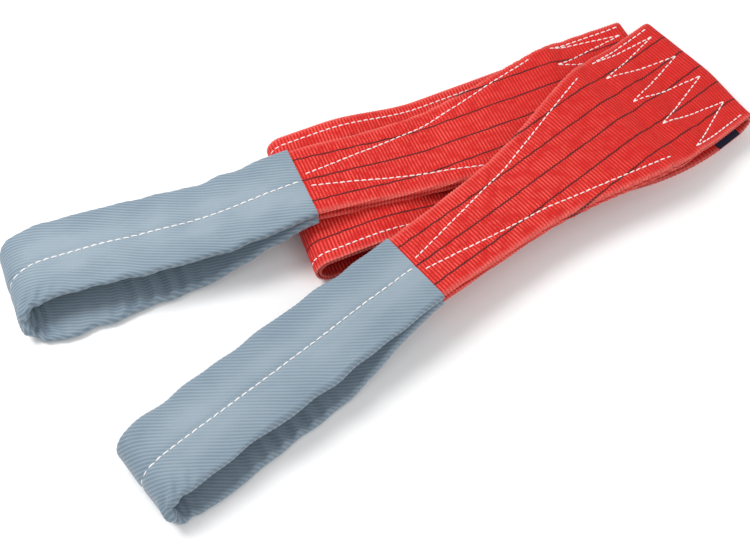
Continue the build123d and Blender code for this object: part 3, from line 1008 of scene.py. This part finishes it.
def core_piece(leg):
    """The folded webbing inside the sleeve, narrower round the nose."""
    at, s, z, outward, drift = strap_frame(leg, CORE_STEP)
    nose_at = at[np.argmax(s)]
    keep = (at > THROAT_RUN) & (at < at[-1] - THROAT_RUN)
    at, s, z, outward, drift = at[keep], s[keep], z[keep], outward[keep], drift[keep]
    n, around = len(at), CORE_AROUND
    angle = np.arange(around) * 2 * math.pi / around
    t = np.sign(np.cos(angle)) * np.abs(np.cos(angle)) ** 0.25 * CORE_HALF_WIDTH
    h = np.sign(np.sin(angle)) * np.abs(np.sin(angle)) ** 0.6 * CORE_HALF_HEIGHT
    rows = np.arange(n)[:, None] + 0 * np.arange(around)[None, :]
    at_nose = bump_at(at[:, None], nose_at, 36)
    narrowing = 0.06 * bump_at(at[:, None], 0, MOUTH_NARROWING) + 0.22 * at_nose
    across = t[None, :] * (1 - narrowing) + drift[:, None]
    height = h[None, :] * (1 - 0.3 * at_nose)
    points = strap_point(leg, s[rows], z[rows], outward[rows], across, height)
    vertices = np.concatenate([points.reshape(-1, 3), points[0].mean(0)[None], points[-1].mean(0)[None]])
    ring = np.arange(0, around, 2)
    following = (ring + 2) % around
    start, last = n * around, (n - 1) * around
    quads = [
        grid_quads(n, around, wrap=True),
        np.stack([np.full(len(ring), start), following, ring + 1, ring], -1),
        np.stack([np.full(len(ring), start + 1), last + ring, last + ring + 1, last + following], -1)]
    web = np.stack([np.repeat(at, around) * MM, np.tile(t, n) * MM, np.ones(n * around)], -1)
    web = np.concatenate([web, [[0, 0, 1], [0, 0, 1]]])
    obj = make_object("eye_" + leg.name + "_core", vertices, np.concatenate(quads), web)
    obj.data.materials.append(WEBBING)
    return obj


def sleeve_seam_piece(leg, seed):
    """Stitches down the middle of the sleeve's outer face, as far as it stands clear of the floor."""
    at, s, z, outward, drift = strap_frame(leg, 0.7)
    holes = np.arange(4.0, at[-1] - 4.0, SLEEVE_STITCH)
    wander = 0.8 * np.sin(holes / 47.0)
    relief = sleeve_relief(holes, at[-1], at[np.argmax(s)], wander, 1.0, seed)
    s_at, z_at, drift_at = (np.interp(holes, at, part) for part in (s, z, drift))
    out_at = unit(np.stack([np.interp(holes, at, outward[:, k]) for k in (0, 1)], -1))
    height = SLEEVE_HALF_HEIGHT - SLEEVE_SLACK + relief
    points = strap_point(leg, s_at, z_at, out_at, drift_at + wander, height)
    above = strap_point(leg, s_at, z_at, out_at, drift_at + wander, height + 2)
    normal = unit(above - points)
    middle = unit(normal[:-1] + normal[1:])
    keep = points[:-1, 2] > LOWEST_SLEEVE_STITCH
    name = "eye_" + leg.name + "_sleeve_stitches"
    return stitches(name, points[:-1][keep], points[1:][keep], middle[keep], 5)


# ---------------------------------------------------------------- building


def build_ply(leg, fold_name, layer, ply):
    """One ply of a leg: its fold, its length to the throat, and its run on into the eye's sleeve."""
    body = "leg_" + leg.name
    eye = "eye_" + leg.name
    upper = ply == "upper"
    face = -1
    surface = leg_surface(leg, upper)
    web_end = leg.length - THROAT_RUN
    piece = web_piece(body + "_" + ply + "_web", surface, 0.0, web_end, face, leg.half)
    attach(piece, body)
    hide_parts(body + "_" + ply + "_ply")

    name = eye + "_" + ply + "_throat"
    throat = web_piece(name, surface, web_end, leg.length + INSIDE_SLEEVE, face, leg.half)
    height = (leg.upper_mid if upper else leg.lower_mid)(leg.length) * MM
    start = leg.place(leg.length - (THROAT_RUN if upper else LOWER_BEND), 0, 0) * MM
    end = leg.place(leg.length + (UPPER_BEND if upper else LOWER_BEND), 0, 0) * MM
    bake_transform(throat)

    radius = leg.fold_radius(layer)
    half_turn = math.pi * radius
    fold = web_piece(fold_name + "_" + ply + "_web", fold_surface(leg, layer), -half_turn, 0.0, face)
    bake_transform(fold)
    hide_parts(fold_name + ("_outer_ply" if upper else "_inner_ply"))


def build_leg(leg, fold_name):
    body = "leg_" + leg.name
    build_ply(leg, fold_name, leg.outer_layer, "upper")
    build_ply(leg, fold_name, leg.outer_layer + 1, "lower")
    top = leg_surface(leg, True)
    for node, rows in leg_seams(leg).items():
        starts, ends, normals = rows_on(top, rows, -1)
        sewn = stitches(body + "_" + node + "_stitches", starts, ends, normals, len(node))
        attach(sewn, body)
        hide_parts(body + "_" + node)


def build_eye(leg, ridge_angle, seed):
    eye = "eye_" + leg.name
    sleeve = sleeve_piece(leg, ridge_angle, seed)
    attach(sleeve, eye)
    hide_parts(eye + "_sleeve")
    core = core_piece(leg)
    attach(core, eye)
    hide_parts(eye + "_webbing")
    seam = sleeve_seam_piece(leg, seed)
    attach(seam, eye)
    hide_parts(eye + "_sleeve_seam")


def build_middle_ply(layer, name):
    """One ply of both returns and the middle fold."""
    surface, length = middle_surface(layer)
    piece = web_piece("middle_" + name + "_web", surface, 0.0, length, 1)
    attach(piece, "root")
    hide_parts("middle_" + name + "_ply")


def build_middle_seams():
    """Two rows over the middle fold and the upper returns, from just past the turn."""
    surface, length = middle_surface(0)
    edge = HALF_WEB - EDGE_SEAM_INSET
    rows = [[(RETURN_LENGTH + EDGE_SEAM_START, side * edge), (length, side * edge)] for side in (-1, 1)]
    starts, ends, normals = rows_on(surface, rows, 1)
    seams = stitches("middle_edge_stitches", starts, ends, normals, 9)
    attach(seams, "root")
    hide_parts("middle_edge_seams")


def dress_label():
    """The label and its seam stay as the part has them, in their own materials."""
    for node, material in (("identification_label", LABEL), ("label_seam", THREAD)):
        obj = frame["nodes"][node]
        obj.data.materials.clear()
        obj.data.materials.append(material)


def build_stage():
    """A white floor, even light from all round, a soft key from the back left and a fill."""
    bpy.ops.mesh.primitive_plane_add(size=14)
    floor = bpy.context.object
    floor.name = "floor"
    paint = Surface("floor")
    paint.set(Base_Color=(0.93, 0.93, 0.93), Roughness=0.9)
    floor.data.materials.append(paint.material)
    world = bpy.data.worlds.new("studio")
    bpy.context.scene.world = world
    world.use_nodes = True
    background = world.node_tree.nodes["Background"]
    background.inputs["Color"].default_value = (1, 1, 1, 1)
    background.inputs["Strength"].default_value = 0.62
    bpy.context.scene.view_settings.view_transform = "Standard"
    for name, place, size, power in (
        ("key", (-1.0, 0.7, 1.5), 0.8, 27.0),
        ("fill", (0.9, -1.4, 1.5), 1.6, 12.0),
    ):
        light = bpy.data.lights.new(name, "AREA")
        light.size = size
        light.energy = power
        lamp = bpy.data.objects.new(name, light)
        lamp.location = place
        aim(lamp, (-0.13, -0.05, 0.0))
        bpy.context.scene.collection.objects.link(lamp)


def aim(obj, target):
    """Turn a lamp or camera to look at a point, level."""
    back = (Vector(obj.location) - Vector(target)).normalized()
    side = Vector((0, 0, 1)).cross(back).normalized()
    up = back.cross(side).normalized()
    obj.rotation_euler = Matrix((side, up, back)).transposed().to_euler()


def build_camera():
    camera = bpy.data.cameras.new("camera")
    camera.sensor_width = 36.0
    camera.lens = 55.2
    obj = bpy.data.objects.new("camera", camera)
    obj.location = (-0.362, -0.596, 0.9386)
    aim(obj, (-0.173, -0.088, 0.0))
    bpy.context.scene.collection.objects.link(obj)
    bpy.context.scene.camera = obj


build_leg(LEG_A, "inner_fold")
build_leg(LEG_B, "outer_fold")
build_eye(LEG_A, math.radians(-20), 21)
build_eye(LEG_B, math.radians(-39), 22)
build_middle_ply(0, "outer")
build_middle_seams()
build_middle_ply(1, "inner")
dress_label()
build_stage()
build_camera()
